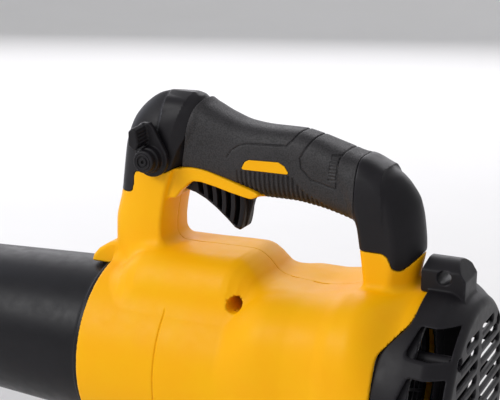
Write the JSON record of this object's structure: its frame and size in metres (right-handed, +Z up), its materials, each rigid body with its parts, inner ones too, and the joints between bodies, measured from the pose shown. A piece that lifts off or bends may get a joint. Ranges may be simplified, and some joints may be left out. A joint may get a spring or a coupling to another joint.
{
  "type": "cordless axial leaf blower",
  "caption": "Hand-held cordless axial leaf blower with a top handle, finger trigger, thumb speed lever, long black blow tube and rear air intake cage.",
  "frame": {"origin": "on the ground, under the middle of the blower's overall box", "axes": "+X along the fan axis towards the rear air intake, -X towards the nozzle outlet; +Z up; -Y to the side with the speed lever"},
  "size_m": [0.882, 0.159, 0.3125],
  "materials": {
    "yellow_plastic": "satin",
    "black_plastic": "satin",
    "grip_rubber": "matte",
    "tube_plastic": "gloss",
    "inner_plastic": "matte",
    "seal_rubber": "matte",
    "steel": "satin",
    "zinc_steel": "satin",
    "aluminium": "satin",
    "copper": "satin",
    "board_green": "satin",
    "lead_sleeve": "satin",
    "cell_sleeve": "gloss"
  },
  "bodies": {
    "blower_body": {"housing_left": "yellow_plastic", "housing_right": "yellow_plastic", "handle_hood": "black_plastic", "grip_overmold": "grip_rubber", "rear_boot": "grip_rubber", "grip_badge_left": "yellow_plastic", "grip_badge_right": "yellow_plastic", "trigger_pin": "steel", "trigger_spring": "steel", "trigger_switch": "inner_plastic", "fan_duct": "inner_plastic", "tail_cone": "inner_plastic", "motor_case": "aluminium", "motor_end_bell": "aluminium", "motor_bearing_front": "steel", "motor_bearing_rear": "steel", "motor_stator": "steel", "motor_coils": "copper", "motor_screws": "zinc_steel", "intake_cover": "black_plastic", "intake_screen": "black_plastic", "intake_screws": "zinc_steel", "duct_seal": "seal_rubber", "tube_latch_spring": "steel", "battery_dock": "black_plastic", "terminal_block": "inner_plastic", "control_board": "board_green", "heat_sink": "aluminium", "motor_leads": "lead_sleeve", "battery_leads": "lead_sleeve", "housing_screws": "zinc_steel", "foot_pads": "seal_rubber"},
    "trigger": {"trigger": "black_plastic"},
    "speed_lever": {"speed_lock_lever": "black_plastic", "lever_spindle": "inner_plastic", "lever_cap": "black_plastic"},
    "fan_rotor": {"motor_shaft": "steel", "magnet_rotor": "steel", "fan_impeller": "inner_plastic", "impeller_spinner": "black_plastic", "fan_nut": "zinc_steel"},
    "blow_tube": {"blow_tube": "tube_plastic"},
    "nozzle": {"nozzle_tip": "tube_plastic"},
    "tube_latch": {"tube_latch_button": "black_plastic"},
    "battery_pack": {"battery_case_upper": "black_plastic", "battery_case_lower": "black_plastic", "battery_cells": "cell_sleeve", "battery_release_spring": "steel", "battery_screws": "zinc_steel"},
    "release_button": {"battery_release_button": "yellow_plastic"},
    "gauge_button": {"battery_gauge_button": "grip_rubber"}
  },
  "joints": [
    {"name": "trigger_squeeze", "type": "hinge", "parent": "blower_body", "child": "trigger", "pos_m": [0.235, 0, 0.252], "axis": [0, -1, 0], "range_deg": [0, 12], "stiffness_Nm_per_rad": 0.5, "springref_deg": -17.19},
    {"name": "lever_turn", "type": "hinge", "parent": "blower_body", "child": "speed_lever", "pos_m": [0.217, 0, 0.269], "axis": [0, 1, 0], "range_deg": [0, 60]},
    {"name": "fan_spin", "type": "hinge", "parent": "blower_body", "child": "fan_rotor", "pos_m": [0.352, 0, 0.124], "axis": [1, 0, 0], "continuous": true},
    {"name": "tube_pull", "type": "slide", "parent": "blower_body", "child": "blow_tube", "axis": [-1, 0, 0], "range_m": [0, 0.06]},
    {"name": "nozzle_pull", "type": "slide", "parent": "blow_tube", "child": "nozzle", "axis": [-1, 0, 0], "range_m": [0, 0.05]},
    {"name": "tube_latch_press", "type": "slide", "parent": "blower_body", "child": "tube_latch", "axis": [0, 0, -1], "range_m": [0, 0.004], "stiffness_N_per_m": 400, "springref_m": -0.004, "deforming": ["tube_latch_spring"]},
    {"name": "battery_slide", "type": "slide", "parent": "blower_body", "child": "battery_pack", "axis": [1, 0, 0], "range_m": [0, 0.14]},
    {"name": "battery_release_press", "type": "slide", "parent": "battery_pack", "child": "release_button", "axis": [0, 0, -1], "range_m": [0, 0.003], "stiffness_N_per_m": 500, "springref_m": -0.003, "deforming": ["battery_release_spring"]},
    {"name": "gauge_press", "type": "slide", "parent": "battery_pack", "child": "gauge_button", "axis": [-1, 0, 0], "range_m": [0, 0.0006], "stiffness_N_per_m": 800, "springref_m": -0.0006}
  ]
}
